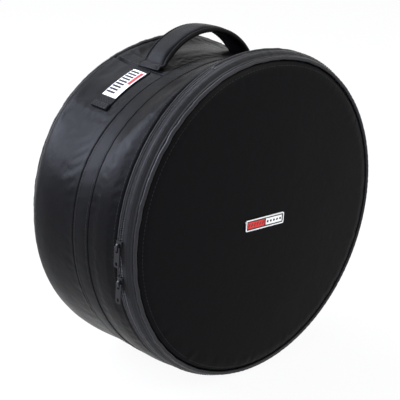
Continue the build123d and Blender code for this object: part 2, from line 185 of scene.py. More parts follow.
floor_mesh = bpy.data.meshes.new("floor")
corner_ways = ((-1, -1), (1, -1), (1, 1), (-1, 1))
floor_corners = [(x * FLOOR_REACH, y * FLOOR_REACH, 0) for x, y in corner_ways]
floor_mesh.from_pydata(floor_corners, [], [(0, 1, 2, 3)])
floor = bpy.data.objects.new("floor", floor_mesh)
scene.collection.objects.link(floor)
paint = bpy.data.materials.new("floor_paint")
paint.use_nodes = True
paint_kinds = ("BsdfDiffuse", "Emission", "OutputMaterial")
white_to_camera(paint.node_tree, paint_kinds, FLOOR_COLOR, FLOOR_WHITE)
floor_mesh.materials.append(paint)


def lamp(name, place, target, width, height, watts, color):
    """A soft square lamp that looks at a target."""
    data = bpy.data.lights.new(name, "AREA")
    data.color = color
    data.shape = "RECTANGLE"
    data.size = width
    data.size_y = height
    data.energy = watts
    light = bpy.data.objects.new(name, data)
    light.location = place
    light.rotation_euler = (Vector(target) - Vector(place)).to_track_quat("-Z", "Y").to_euler()
    scene.collection.objects.link(light)


lamp("softbox_left", (-1.3, 1.6, 1.3), (0, 0, 0.25), 1.5, 1.6, 118, (0.86, 0.91, 1.12))
lamp("softbox_top", (0.1, 1.1, 2.1), (0, 0, 0.3), 1.4, 1.2, 30, (0.92, 0.95, 1.05))
lamp("fill_front", (1.3, -2.3, 1.7), (0, 0, 0.25), 1.6, 1.6, 36, (1.0, 1.0, 1.0))


# Shapes
def smooth_min(a, b, width):
    """The smaller of two values, rounded off where they are nearer than the width."""
    share = np.clip(0.5 + 0.5 * (b - a) / width, 0, 1)
    return b * (1 - share) + a * share - width * share * (1 - share)


def bump(distance, width):
    """A soft hump of height one at no distance, which ends at the given width."""
    near = np.clip(1 - np.abs(distance) / width, 0, 1)
    return near * near * (3 - 2 * near)


def waves(clock, place, seed, low, high, count=7, tilt=0.35):
    """Uneven folds: a sum of waves around the bag, each with its own number, slant and phase."""
    draw = np.random.default_rng(seed)
    total = np.zeros(np.broadcast(clock, place).shape)
    for _ in range(count):
        number = draw.integers(low, high)
        slant = draw.uniform(-tilt, tilt) * number / BAG
        height = draw.uniform(0.5, 1)
        phase = draw.uniform(0, 6.3)
        total = total + height * np.sin(np.radians(clock) * number + slant * place + phase)
    return total / count ** 0.5


def wall_radius(clock, place):
    """From the axis to the wall: a drum with soft shoulders, a sagging top and a flat foot."""
    clock, place = np.broadcast_arrays(np.asarray(clock, float), np.asarray(place, float))
    front_bend = ((BAG - ZIP_RADIUS) ** 2 + SHOULDER ** 2) / (2 * (BAG - ZIP_RADIUS))
    rear_drop = BAG - RIM - CLOTH
    rear_reach = WALL_REAR - (RIM_PLACE - REAR_SHOULDER)
    rear_bend = (rear_drop ** 2 + rear_reach ** 2) / (2 * rear_drop)
    front_in = np.clip(WALL_FRONT + SHOULDER - place, 0, SHOULDER)
    rear_in = np.clip(place - (RIM_PLACE - REAR_SHOULDER), 0, rear_reach)
    front_fall = front_bend - np.sqrt(front_bend ** 2 - front_in ** 2)
    rear_fall = rear_bend - np.sqrt(rear_bend ** 2 - rear_in ** 2)
    drum = BAG - front_fall - rear_fall
    arc = np.where(place < 0, FRONT_ARC, REAR_ARC)
    saddle = SADDLE + arc - np.sqrt(arc ** 2 - place ** 2)
    turn = np.radians(clock)
    sag = -SADDLE_DROP * np.cos(turn) + np.sqrt(saddle ** 2 - (SADDLE_DROP * np.sin(turn)) ** 2)
    radius = smooth_min(drum, sag, SAG_BLEND)
    floor_reach = (AXIS - FOOT_LIFT) / np.maximum(-np.cos(turn), FOOT_COSINE)
    footed = smooth_min(radius, floor_reach, FOOT_BLEND)
    return np.where(np.cos(turn) < -FOOT_COSINE, footed, radius)


def half_turns(clock):
    """The same clock angle between minus and plus half a turn."""
    return (np.asarray(clock, float) + 180) % 360 - 180


def droop(clock, place=-1.0):
    """How far the cloth at the top of a rim hangs below the round form, in front or at the rear."""
    front, rear = (
        drop * bump(half_turns(clock) - middle, reach)
        for drop, middle, reach in (FRONT_DROOP, REAR_DROOP)
    )
    return np.where(np.asarray(place) < 0, front, rear)


def sunk(clock, radius, place):
    """The radius of a point of an end disc, with less and less droop towards its middle."""
    return radius - droop(clock, place) * (radius / RIM) ** 3


def hang(clock, place):
    """How far the wall hangs below its form: not at all in the middle, as the rims at both ends."""
    reach = np.clip((np.abs(place) - 0.03) / 0.045, 0, 1)
    return droop(clock, place) * reach * reach * (3 - 2 * reach)


def crossing_of(clock):
    """Distance along the wall from the seams on both sides of the handle's panel."""
    return np.abs(np.abs(half_turns(clock)) - PANEL_ANGLE) * math.pi / 180 * BAG


def wall_surface(clock, place):
    """The dressed wall: its form with slack, broad folds and fine puckers beside the seams."""
    slack = 0
    for (height, middle, reach), (along, length) in SLACK:
        loose = height * bump(half_turns(clock) - middle, reach)
        slack = slack + loose * bump(place - along, length)
    folds = FOLD * waves(clock, place, 11, 5, 13) * bump(place - 0.01, 0.1)
    seam = np.abs(place - WALL_FRONT)
    for other in (WALL_REAR, 0, -BAND_WIDTH):
        seam = np.minimum(seam, np.abs(place - other))
    near = np.clip(1 - seam / PUCKER_REACH, 0, 1)
    pucker = PUCKER * waves(clock, place, 12, 35, 110, count=11, tilt=0.5) * near
    near = np.clip(1 - crossing_of(clock) / TUCK_REACH, 0, 1)
    tuck = PUCKER * waves(place * 900, clock / 60, 13, 1, 4) * near * (place > 0)
    return wall_radius(clock, place) + slack + folds + pucker + tuck - hang(clock, place)


def around(clock, radius, place):
    """Points in the frame from angles around the axis, radii and places along it."""
    turn = np.radians(clock)
    clock, radius, place = np.broadcast_arrays(turn, radius, place)
    return np.stack([radius * np.sin(clock), place, AXIS + radius * np.cos(clock)], -1)


def outward_at(clock):
    """The way out of the bag at each of the angles."""
    turn = np.radians(clock)
    return np.stack([np.sin(turn), 0 * turn, np.cos(turn)], -1)


def put(mesh_name, points, faces, uvs=None):
    """A smooth mesh object of the given points and faces."""
    mesh = bpy.data.meshes.new(mesh_name)
    listed = faces.tolist() if hasattr(faces, "tolist") else faces
    mesh.from_pydata(points.reshape(-1, 3).tolist(), [], listed)
    if uvs is not None:
        layer = mesh.uv_layers.new(name="cloth")
        layer.data.foreach_set("uv", np.asarray(uvs, np.float32).ravel())
    mesh.shade_smooth()
    piece = bpy.data.objects.new(mesh_name, mesh)
    scene.collection.objects.link(piece)
    return piece


def lengths(rows):
    """Mean distance from the first row of points to each other one, and on around to the first."""
    steps = np.linalg.norm(np.diff(rows, axis=0), axis=2).mean(1)
    along = np.concatenate([[0], np.cumsum(steps)])
    return np.append(along, along[-1] + np.linalg.norm(rows[0] - rows[-1], axis=1).mean())


def grid(name, points, close_u=False, close_v=False, flat_uv=None):
    """A sheet of quads through rows of points, with texture places in metres along both ways."""
    rows, columns = points.shape[:2]
    down = np.arange(rows if close_v else rows - 1)
    along = np.arange(columns if close_u else columns - 1)
    i, j = (part.ravel() for part in np.meshgrid(down, along, indexing="ij"))
    here, below, beside = i * columns, (i + 1) % rows * columns, (j + 1) % columns
    faces = np.stack([here + j, here + beside, below + beside, below + j], 1)
    if flat_uv is None:
        wide, tall = (lengths(turned) for turned in (points.transpose(1, 0, 2), points))
        uvs = np.stack([
            np.stack([wide[j], tall[i]], 1), np.stack([wide[j + 1], tall[i]], 1),
            np.stack([wide[j + 1], tall[i + 1]], 1), np.stack([wide[j], tall[i + 1]], 1),
        ], 1)
    else:
        uvs = flat_uv.reshape(-1, 2)[faces]
    return put(name, points, faces, uvs)


def ring(name, profile, clocks, shift=None, close_v=False):
    """Turns a profile of radii and places around the axis; shift makes both of them uneven."""
    closed = abs(clocks[-1] - clocks[0]) > 359
    clocks = clocks[:-1] if closed else clocks
    profile = np.asarray(profile, float)
    radius = np.repeat(profile[:, :1], len(clocks), 1)
    place = np.repeat(profile[:, 1:2], len(clocks), 1)
    if shift is not None:
        radius, place = shift(clocks[None, :], radius, place)
    return grid(name, around(clocks[None, :], radius, place), close_u=closed, close_v=close_v)


def length_along(line):
    """The length of a line of points up to each of them."""
    steps = np.linalg.norm(np.diff(line, axis=0), axis=1)
    return np.concatenate([[0], np.cumsum(steps)])


def smooth_line(points, count):
    """Even points along a smooth curve through the given ones."""
    points = np.asarray(points, float)
    padded = np.vstack([2 * points[0] - points[1], points, 2 * points[-1] - points[-2]])
    found = []
    for k in range(1, len(padded) - 2):
        a, b, c, d = padded[k - 1:k + 3]
        t = np.linspace(0, 1, 24, endpoint=False)[:, None]
        square, cube = 2 * a - 5 * b + 4 * c - d, 3 * b - a - 3 * c + d
        found.append(0.5 * (2 * b + (c - a) * t + square * t ** 2 + cube * t ** 3))
    found = np.vstack(found + [points[-1:]])
    length = length_along(found)
    even = np.linspace(0, length[-1], count)
    return np.stack([np.interp(even, length, found[:, k]) for k in range(found.shape[1])], 1)


FULL = np.linspace(-180, 180, 721)


# Wall cloth
def wall_piece(name, places, lifts, clocks, edge=None):
    """A panel of the wall; lifts are its heights above the wall's surface along the places."""
    profile = np.stack([lifts, places], 1)

    def shift(clock, radius, place):
        total = radius if edge is None else radius + edge(clock, place)
        return wall_surface(clock, place) + total, place
    return ring(name, profile, clocks, shift)


ROLL_WIDTH = 0.0032
places = np.concatenate([
    WALL_FRONT + ROLL_WIDTH * np.linspace(0, 1, 8, endpoint=False) ** 1.6,
    np.linspace(WALL_FRONT + ROLL_WIDTH, -BAND_WIDTH + 0.003, 30),
])
edge_share = np.clip((places - WALL_FRONT) / ROLL_WIDTH, 0, 1)
lifts = -0.0024 * (1 - np.sqrt(1 - (1 - edge_share) ** 2)) - 0.00005
front_cloth = wall_piece("front_wall_cloth", places, lifts, FULL)

band_line = np.array([
    (-0.0256, -0.0004), (-0.0254, 0.0003), (-0.0249, 0.0006), (-0.024, 0.0006), (-0.022, 0.0004),
    (-0.019, 0.0006), (-0.015, 0.0006), (-0.011, 0.0006), (-0.007, 0.0006), (-0.004, 0.0005),
    (-0.002, 0.0006), (-0.0009, 0.0006), (-0.0003, 0.0002), (0.0, -0.0012),
])
band = wall_piece("seam_band_tape", *band_line.T, FULL)


def cross_seams(clock, place):
    """The grooves of the seams on both sides of the panel under the handle."""
    return -SEAM_GROOVE * bump(crossing_of(clock), 0.003)


rear_places = np.concatenate([
    [0.0, 0.0004, 0.0012, 0.0024], np.linspace(0.0045, WALL_REAR - 0.0004, 44), [WALL_REAR],
])
turned_in = 0.0018 * (1 - np.clip(rear_places / 0.0024, 0, 1)) ** 2
rear_lifts = -turned_in - 0.0012 * bump(rear_places - WALL_REAR, 0.002)
rear_clocks = np.linspace(PANEL_ANGLE, 360 - PANEL_ANGLE, 605)
panel_clocks = np.linspace(-PANEL_ANGLE, PANEL_ANGLE, 121)
rear_cloth, handle_panel_cloth = (
    wall_piece(name, rear_places, rear_lifts, clocks, cross_seams)
    for name, clocks in (("rear_wall_cloth", rear_clocks), ("handle_panel_cloth", panel_clocks))
)


# End panels: padded discs that roll over into the piping
def crown(radius, top):
    """Place of the crowned panel's surface along the axis, counted outward from the middle."""
    seam = RIM - PIPING
    drop = top - RIM_PLACE
    share = np.clip(radius / seam, 0, 1)
    face = top - drop * 0.36 * (share / 0.82) ** 2
    inside = np.clip((seam - radius) / 0.015, 0, 1)
    roll = np.sqrt(np.clip(1 - (1 - inside) ** 2.2, 0, 1))
    low = RIM_PLACE - 0.0024
    return low + (face - low) * roll


def disc_clocks(step):
    """Angles around an end disc: every so many half degrees, as one row."""
    return FULL[:-1][None, ::step]


def end_panel(name, side, top, seed):
    """A crowned panel with soft dents, puckered beside its seam and closed in its middle."""
    rings = np.concatenate([
        np.linspace(0.0012, 0.17, 70), np.linspace(0.1715, RIM - PIPING + 0.0002, 22),
        [RIM - 0.0006],
    ])
    clocks = disc_clocks(2)
    radius = rings[:, None] + 0 * clocks
    dents = 0.0004 * waves(clocks, radius * 3, seed, 2, 7) * bump(radius - 0.11, 0.07)
    pucker = 0.00022 * waves(clocks, radius, seed + 5, 30, 110, count=11, tilt=0.6)
    place = side * (crown(radius, top) + dents + pucker * bump(radius - 0.18, 0.018))
    points = around(clocks, sunk(clocks, radius, place), place)
    piece = grid(name, points, close_u=True, flat_uv=points[..., [0, 2]])
    mesh = bmesh.new()
    mesh.from_mesh(piece.data)
    layer = mesh.loops.layers.uv["cloth"]
    middle = mesh.verts.new((0, side * top, AXIS))
    mesh.verts.ensure_lookup_table()
    count = clocks.size
    for k in range(count):
        face = mesh.faces.new((mesh.verts[k], mesh.verts[(k + 1) % count], middle))
        face.smooth = True
        for loop in face.loops:
            loop[layer].uv = (loop.vert.co.x, loop.vert.co.z)
    bmesh.ops.recalc_face_normals(mesh, faces=mesh.faces)
    mesh.to_mesh(piece.data)
    mesh.free()
    return piece


lid_skin = end_panel("lid_panel_pad", -1, FACE, 31)
back_skin = end_panel("back_panel_pad", 1, BACK_FACE, 37)


# Piping
def piping(name, place, seed):
    """A slightly uneven cord along the rim of one end."""
    turn = np.linspace(0, 2 * math.pi, 17)[:-1]
    profile = np.stack([RIM + PIPING * np.cos(turn), place + PIPING * np.sin(turn)], 1)

    def shift(clock, radius, at):
        wobble = 0.00025 * waves(clock, 0, seed, 20, 60)
        swell = 1 + 0.05 * waves(clock, 0, seed + 1, 90, 200)
        middle = RIM - droop(clock, place)
        out = middle + wobble + (radius - RIM) * swell
        return out, place + wobble * 0.7 + (at - place) * swell
    return ring(name, profile, FULL, shift, close_v=True)


front_piping = piping("lid_piping_cord", -RIM_PLACE, 41)
rear_piping = piping("back_piping_cord", RIM_PLACE, 43)


# Cloth strips around the zip
def strip(name, line, count, seed, amount, clocks=FULL):
    """A slightly uneven strip around the axis; its line is radii and places along the axis."""
    def shift(clock, radius, place):
        out = amount * waves(clock, place, seed, 40, 120)
        along = 0.6 * amount * waves(clock, radius, seed + 1, 40, 120)
        return radius - droop(clock, place) + out, place + along
    return ring(name, smooth_line(line, count), clocks, shift)


gusset = strip("lid_gusset_cloth", [
    (0.1884, -0.0890), (0.1892, -0.0899), (0.1904, -0.0903), (0.1914, -0.0901), (0.192, -0.0893),
    (0.1921, -0.0884), (0.1926, -0.0875), (0.194, -0.0862), (0.1951, -0.0843), (0.1958, -0.0824),
    (0.1961, -0.0811), (0.196, -0.0807), (0.1964, -0.0802), (0.1966, -0.0796), (0.1963, -0.0792),
    (0.1955, -0.0791), (0.1945, -0.0794),
], 44, 51, 0.00018)
welt = strip("zip_welt_cloth", [
    (0.194, -0.0727), (0.1953, -0.073), (0.1964, -0.0729), (0.1971, -0.0723), (0.1971, -0.0716),
    (0.1966, -0.071), (0.1957, -0.0706), (0.1945, -0.0703), (0.1938, -0.0698),
], 24, 53, 0.00012)
hinge_clocks = np.linspace(-STRIP_ANGLE - 1.0, STRIP_ANGLE + 1.0, 90)
hinge = strip("hinge_cloth", [
    (0.1952, -0.0800), (0.1955, -0.0794), (0.1957, -0.0785), (0.1956, -0.0772), (0.1953, -0.076),
    (0.1955, -0.0748), (0.1956, -0.0735), (0.1954, -0.0722), (0.195, -0.0712),
], 26, 57, 0.0001, hinge_clocks)
zip_clocks = np.linspace(HINGE_ANGLE - 1, 360 - HINGE_ANGLE + 1, 630)
case_tape = strip("case_zip_tape", [
    (TAPE, -0.0757), (TAPE + 0.0001, -0.074), (TAPE, -0.0722), (TAPE - 0.0002, -0.0702),
    (TAPE - 0.0006, -0.0684),
], 10, 61, 0.00008, zip_clocks)
lid_tape = strip("lid_zip_tape", [
    (TAPE, -0.0763), (TAPE + 0.0001, -0.078), (TAPE, -0.0795), (TAPE - 0.0003, -0.081),
    (TAPE - 0.001, -0.0825),
], 10, 63, 0.00008, zip_clocks)
for tape in (case_tape, lid_tape):
    solid = tape.modifiers.new("thickness", "SOLIDIFY")
    solid.thickness = 0.0005
    solid.offset = 0.0


# Zip coils, one tooth at a time
def scatter(name, shape_points, shape_faces, frames):
    """One mesh with a copy of a small shape at each frame: three axes and an origin."""
    frames = np.asarray(frames, float)
    points = frames[:, None, 3] + np.einsum("kc,fcd->fkd", shape_points, frames[:, :3])
    faces = []
    for size in sorted({len(face) for face in shape_faces}):
        group = np.asarray([face for face in shape_faces if len(face) == size])
        shifted = group[None] + (np.arange(len(frames)) * len(shape_points))[:, None, None]
        faces.extend(shifted.reshape(-1, size).tolist())
    return put(name, points, faces)


def bead(rings_count=5, sides=7):
    """A small closed rounded shape, one unit long and wide, for stitches and teeth."""
    lines = [np.array([[-0.5, 0, 0]])]
    for k in range(1, rings_count + 1):
        along = -math.cos(math.pi * k / (rings_count + 1))
        wide = 0.5 * math.sin(math.pi * k / (rings_count + 1)) ** 0.5
        turn = np.linspace(0, 2 * math.pi, sides, endpoint=False)
        ring_points = [np.full(sides, along / 2), wide * np.cos(turn), wide * np.sin(turn)]
        lines.append(np.stack(ring_points, 1))
    lines.append(np.array([[0.5, 0, 0]]))
    points = np.vstack(lines)
    round_it = [(s, (s + 1) % sides) for s in range(sides)]
    faces = [(0, 1 + t, 1 + s) for s, t in round_it]
    for k in range(rings_count - 1):
        a, b = 1 + k * sides, 1 + (k + 1) * sides
        faces += [(a + s, a + t, b + t, b + s) for s, t in round_it]
    end, a = len(points) - 1, 1 + (rings_count - 1) * sides
    return points, faces + [(a + s, a + t, end) for s, t in round_it]


BEAD = bead()
TOOTH_PITCH = 0.0019
TOOTH_LENGTH, TOOTH_THICKNESS, TOOTH_HEIGHT = 0.0031, 0.0013, 0.0024
TOOTH_LEAN = 0.18


def teeth(name, side):
    """The coil on one side of the zip: a row of rounded teeth with slanted backs."""
    apart = math.degrees(TOOTH_PITCH / ZIP_RADIUS)
    clocks = np.arange(HINGE_ANGLE + 0.3, 360 - HINGE_ANGLE - 0.3, apart)
    clocks = clocks + (0.5 * apart if side > 0 else 0)
    outward = outward_at(clocks)
    onward = outward[:, ::-1] * (1, 1, -1)
    axis = np.zeros_like(outward)
    axis[:, 1] = side
    long_axis = (axis + TOOTH_LEAN * onward) * TOOTH_LENGTH
    centre = around(clocks, ZIP_RADIUS - 0.00125, ZIP_PLACE + side * 0.00165)
    frames = np.stack([long_axis, onward * TOOTH_THICKNESS, outward * TOOTH_HEIGHT, centre], 1)
    return scatter(name, *BEAD, frames)


case_coil = teeth("case_zip_teeth", 1)
lid_coil = teeth("lid_zip_teeth", -1)


# Linings
def lining_shift(clock, radius, place):
    """The wall's lining, inside its cloth and foam, with soft waves of its own."""
    depth = CLOTH + FOAM + 0.0004
    inside = wall_radius(clock, place) - hang(clock, place) - depth
    return inside + 0.0004 * waves(clock, place, 71, 8, 30), place


lining_places = np.linspace(-0.0683, 0.0845, 60)
lining_line = np.stack([0 * lining_places, lining_places], 1)
wall_lining = ring("wall_lining_cloth", lining_line, FULL, lining_shift)


def flat_disc(name, radius_to, place, side, seed):
    """The nearly flat lining of an end panel."""
    clocks = disc_clocks(3)
    radius = np.linspace(0.0001, radius_to, 60)[:, None] + 0 * clocks
    dents = side * 0.0003 * waves(clocks, radius * 4, seed, 2, 9) * bump(radius - 0.1, 0.1)
    points = around(clocks, sunk(clocks, radius, place), place + dents)
    return grid(name, points, close_u=True, flat_uv=points[..., [0, 2]])


lid_lining = flat_disc("lid_lining_cloth", 0.1872, -0.0842, 1, 73)
back_lining = flat_disc("back_lining_cloth", 0.1858, 0.0846, -1, 79)

# Bound seams inside
mouth_tape = strip("mouth_binding_tape", [
    (0.1875, -0.0679), (0.187, -0.0685), (0.187, -0.0697), (0.1876, -0.0704), (0.19, -0.0705),
    (0.1926, -0.0704), (0.1931, -0.0696),
], 16, 81, 0.0001)
back_tape = strip("back_binding_tape", [
    (0.1862, 0.0790), (0.1845, 0.0782), (0.1828, 0.0795), (0.1795, 0.0825), (0.1768, 0.0842),
    (0.1755, 0.0848),
], 14, 83, 0.00015)
lid_tape_inside = strip("lid_binding_tape", [
    (0.1868, -0.0843), (0.1878, -0.0838), (0.1895, -0.0838), (0.1903, -0.0846),
    (0.1904, -0.087), (0.1903, -0.0895),
], 14, 85, 0.0001)


# Handle: one padded strap with bound edges from wall to wall
def strap_path():
    """Points of the strap's middle line across the axis, from the left foot to the right."""
    arcs = [
        (clock, float(wall_surface(clock, HANDLE_PLACE)) + lift, AXIS)
        for clock, lift in ((-26.5, 0.0013), (-25.6, 0.0015), (-24.8, 0.0026))
    ]
    middle = HANDLE_BEND - HANDLE_THICKNESS / 2
    arcs += [(clock, middle, STRAP_CENTRE) for clock in (-56, -50, -40, -30, -20, -10, 0)]
    left = []
    for clock, radius, centre in arcs:
        turn = math.radians(clock)
        left.append((radius * math.sin(turn), centre + radius * math.cos(turn)))
    return smooth_line(left + [(-x, z) for x, z in left[-2::-1]], 220)


# Half of the strap's cross-section from its middle to its bound edge: share across and height
HALF_SECTION = np.array([
    (0.15, 1), (0.35, 0.99), (0.55, 0.93), (0.7, 0.76), (0.76, 0.52), (0.8, 0.3),
    (0.84, 0.52), (0.88, 0.64), (0.94, 0.62), (0.985, 0.44), (1, 0.15),
])
FLAT_END = 0.0015
path = strap_path()
step = np.gradient(path, axis=0)
step /= np.linalg.norm(step, axis=1)[:, None]
normal = np.stack([-step[:, 1], step[:, 0]], 1)
run = length_along(path)
from_end = np.minimum(run, run[-1] - run)
swelling = np.clip((from_end - 0.007) / 0.018, 0, 1) ** 0.8
half = FLAT_END + (HANDLE_THICKNESS / 2 - FLAT_END) * swelling
half *= np.clip(from_end / FLAT_END, 0.3, 1)
half_width = HANDLE_WIDTH / 2
upper_half = np.vstack([HALF_SECTION[::-1] * (-1, 1), HALF_SECTION])
section = np.vstack([upper_half, upper_half[::-1] * (1, -1)])


def on_strap(at, height, y):
    """Points at heights above the strap's middle line, at one of its steps or at all of them."""
    return np.stack([
        path[at, 0] + normal[at, 0] * height, y, path[at, 1] + normal[at, 1] * height,
    ], 1)


rows = []
for k in range(len(path)):
    soft = 0.0003 * math.sin(run[k] * 90) + 0.0002 * math.sin(run[k] * 223 + 1)
    height = section[:, 1] * (half[k] + soft * (np.abs(section[:, 0]) < 0.7))
    rows.append(on_strap(k, height, HANDLE_PLACE + section[:, 0] * half_width))
strap = grid("handle_strap", np.array(rows), close_u=True)
caps = bmesh.new()
caps.from_mesh(strap.data)
open_edges = [edge for edge in caps.edges if edge.is_boundary]
bmesh.ops.holes_fill(caps, edges=open_edges, sides=0)
caps.to_mesh(strap.data)
caps.free()


# Woven tag behind the middle seam
def tag_piece(name, start, end, thickness, seed):
    """A length of the tag's webbing on the wall, between two angles."""
    clocks = np.linspace(start, end, 60)
    share = np.array([-0.5, -0.5, -0.49, *np.arange(-4, 5) / 10, 0.49, 0.5, 0.5])
    lift = np.array([0.0, 0.8] + [1] * 11 + [0.8, 0.0]) * thickness
    profile = np.stack([lift, share * TAG_WIDTH + TAG_PLACE], 1)

    def shift(clock, radius, place):
        weave = 0.0001 * waves(clock, place, seed, 30, 90)
        return wall_surface(clock, place) + radius + weave, place
    return ring(name, profile, clocks, shift)


tag = tag_piece("side_tag_strip", TAG_ANGLES[0], TAG_ANGLES[1], TAG_THICKNESS, 91)
tag_fold = tag_piece("side_tag_fold", TAG_ANGLES[1], TAG_ANGLES[2], 2 * TAG_THICKNESS, 93)


def patch(name, clocks, places, lift):
    """A thin printed field on the tag, between two angles and two places across it."""
    turn = np.linspace(*clocks, max(4, int(abs(clocks[1] - clocks[0]) * 3)))[None, :]
    side = np.linspace(TAG_PLACE + places[0], TAG_PLACE + places[1], 12)[:, None] + 0 * turn
    return grid(name, around(turn, wall_surface(turn, side) + lift, side))


def joined(name, pieces):
    """One mesh made of several."""
    mesh = bmesh.new()
    for piece in pieces:
        mesh.from_mesh(piece.data)
        bpy.data.objects.remove(piece)
    data = bpy.data.meshes.new(name)
    mesh.to_mesh(data)
    mesh.free()
    data.shade_smooth()
    result = bpy.data.objects.new(name, data)
    scene.collection.objects.link(result)
    return result


TAG_TOP = 0.0015
tag_print = patch("side_tag_print", (-29.6, -45.0), (-0.0112, 0.0108), TAG_TOP)
tag_bars = joined("side_tag_bars", [
    patch("bar", (clock, clock - 0.85), (-0.0034, 0.0096), TAG_TOP + 0.0003)
    for clock in np.arange(-30.6, -43.9, -1.5)
])
tag_stripe = patch("side_tag_stripe", (-30.4, -37.6), (-0.0096, -0.005), TAG_TOP + 0.0002)


# Print on the label
def on_label(outline, place):
    """The points of an outline about the label's middle, at one place along the axis."""
    return [(LABEL[0] + x, place, AXIS + LABEL[1] + z) for x, z in outline]


def flat_faced(name, points, faces):
    """A mesh with sharp edges."""
    piece = put(name, np.array(points), faces)
    piece.data.shade_flat()
    return piece


def block(name, outline, lift, depth):
    """A flat field that rises above the label's floor, inside the given outline."""
    front = -(LABEL_FLOOR + lift)
    count = len(outline)
    faces = [tuple(range(count))]
    faces += [(k, k + count, (k + 1) % count + count, (k + 1) % count) for k in range(count)]
    return flat_faced(name, on_label(outline, front) + on_label(outline, front + depth), faces)


def bar(x, wide, tall, lean=0.0):
    """Corners of an upright bar on the label's middle line; its top leans to the right."""
    near, far = x - wide / 2, x + wide / 2
    return [
        (near - lean, -tall / 2), (far - lean, -tall / 2),
        (far + lean, tall / 2), (near + lean, tall / 2),
    ]


def rounded(wide, tall, corner):
    """Corners of a rounded rectangle about the label's middle."""
    found = []
    for k, (x, z) in enumerate(((1, 1), (-1, 1), (-1, -1), (1, -1))):
        for angle in np.linspace(k * 90, k * 90 + 90, 5):
            turn = math.radians(angle)
            found.append((
                x * (wide / 2 - corner) + corner * math.cos(turn),
                z * (tall / 2 - corner) + corner * math.sin(turn),
            ))
    return found


def frame_ring(name, outside, inside, front, depth):
    """A raised border on the label between two outlines with the same count of corners."""
    count = len(outside)
    lines = [
        on_label(outside, depth - front), on_label(outside, -front),
        on_label(inside, -front), on_label(inside, depth - front),
    ]
    faces = [
        (a + k, a + (k + 1) % count, a + count + (k + 1) % count, a + count + k)
        for a in (0, count, 2 * count) for k in range(count)
    ]
    return flat_faced(name, lines, faces)


LABEL_FIELD = (0.0268, 0.0077)
DOTS = np.linspace(0, 2 * math.pi, 13)[:-1]
border_outlines = rounded(0.0619, 0.0134, 0.0015), rounded(0.0594, 0.0109, 0.0008)
label_border = frame_ring("label_pale_border", *border_outlines, LABEL_FRONT, 0.0004)
label_red = block("label_red_field", bar(-0.0145, *LABEL_FIELD), 0.0002, 0.0002)
label_pale = block("label_pale_field", bar(0.0145, *LABEL_FIELD), 0.0002, 0.0002)
label_marks_red = joined("label_red_marks", [
    block("mark", bar(x, 0.0013, 0.0038, 0.001), 0.0003, 0.0001)
    for x in np.arange(-0.0256, -0.003, 0.0044)
])
label_marks_dark = joined("label_dark_marks", [
    block("mark", [(x + 0.0015 * math.cos(t), 0.0015 * math.sin(t)) for t in DOTS], 0.0003, 0.0001)
    for x in np.arange(0.0042, 0.027, 0.0052)
])

# Cloth simulation: each padded panel is a little too large for its seams, so that it swells
# and buckles between them
CLOTH_FRAMES = 14
CLOTH_REACH = 0.0008
HOLD_STEPS = 20
HOLD_FADE = 0.004
SEAM_HOLD = 0.0055
CROSSING_HOLD = 0.006
TAG_HOLD = 0.017
FOOT_HOLD = 0.025
FOOT_START = 20
FLOOR_START = 168
CLOTH_SETTINGS = {
    "quality": 4, "mass": 0.25, "tension_stiffness": 25, "compression_stiffness": 25,
    "shear_stiffness": 10, "bending_stiffness": 3, "air_damping": 4,
    "vertex_group_mass": "held", "use_pressure": True, "uniform_pressure_force": 1.0,
}


def wall_hold(points):
    """How firmly each point stays: whole at the seams, the tag, the handle's feet and the floor."""
    place = points[:, 1]
    clock = np.degrees(np.arctan2(points[:, 0], points[:, 2] - AXIS))
    middle_seam = np.where(place < -0.01, -BAND_WIDTH - place, place)
    seam = np.minimum(np.minimum(place - WALL_FRONT, WALL_REAR - place), middle_seam)
    near = np.clip(1 - (seam - SEAM_HOLD) / HOLD_FADE, 0, 1)
    crossing = np.clip(1 - (crossing_of(clock) - CROSSING_HOLD) / HOLD_FADE, 0, 1)
    near = np.maximum(near, crossing * (place > 0))
    tag_zone = (clock < TAG_ANGLES[0] + 3) & (clock > TAG_ANGLES[2] - 2)
    tag_zone &= np.abs(place - TAG_PLACE) < TAG_HOLD
    foot = (np.abs(clock) < PANEL_ANGLE) & (np.abs(clock) > FOOT_START)
    foot &= np.abs(place - HANDLE_PLACE) < FOOT_HOLD
    held = np.where(tag_zone | foot | (np.abs(clock) > FLOOR_START), 1, near)
    return np.round(np.clip(held, 0, 1) * HOLD_STEPS) / HOLD_STEPS


def soften(piece, slack):
    """Lets a panel's cloth settle under a little pressure, and moves it as far as its reach."""
    mesh = piece.data
    count = len(mesh.vertices)
    start = np.empty(count * 3)
    mesh.vertices.foreach_get("co", start)
    start = start.reshape(-1, 3)
    held = wall_hold(start)
    group = piece.vertex_groups.new(name="held")
    for firmness in np.unique(held):
        group.add(np.where(held == firmness)[0].tolist(), float(firmness), "REPLACE")
    cloth = piece.modifiers.new("cloth", "CLOTH")
    for key, value in CLOTH_SETTINGS.items():
        setattr(cloth.settings, key, value)
    cloth.settings.shrink_min = -slack
    cloth.settings.effector_weights.gravity = 0
    cloth.collision_settings.use_collision = False
    cloth.point_cache.frame_start = 1
    cloth.point_cache.frame_end = CLOTH_FRAMES
    for frame_number in range(1, CLOTH_FRAMES + 1):
        scene.frame_set(frame_number)
    settled = piece.evaluated_get(bpy.context.evaluated_depsgraph_get()).to_mesh()
    end = np.empty(count * 3)
    settled.vertices.foreach_get("co", end)
    move = end.reshape(-1, 3) - start
    far = np.linalg.norm(move, axis=1)
    print("cloth", piece.name, "moves up to", round(float(far.max()) * 1000, 2), "mm")
    move *= (CLOTH_REACH * np.tanh(far / CLOTH_REACH) / np.maximum(far, 1e-9))[:, None]
    piece.modifiers.remove(cloth)
    piece.vertex_groups.remove(group)
    mesh.vertices.foreach_set("co", (start + move).ravel())
    mesh.update()
    scene.frame_set(1)


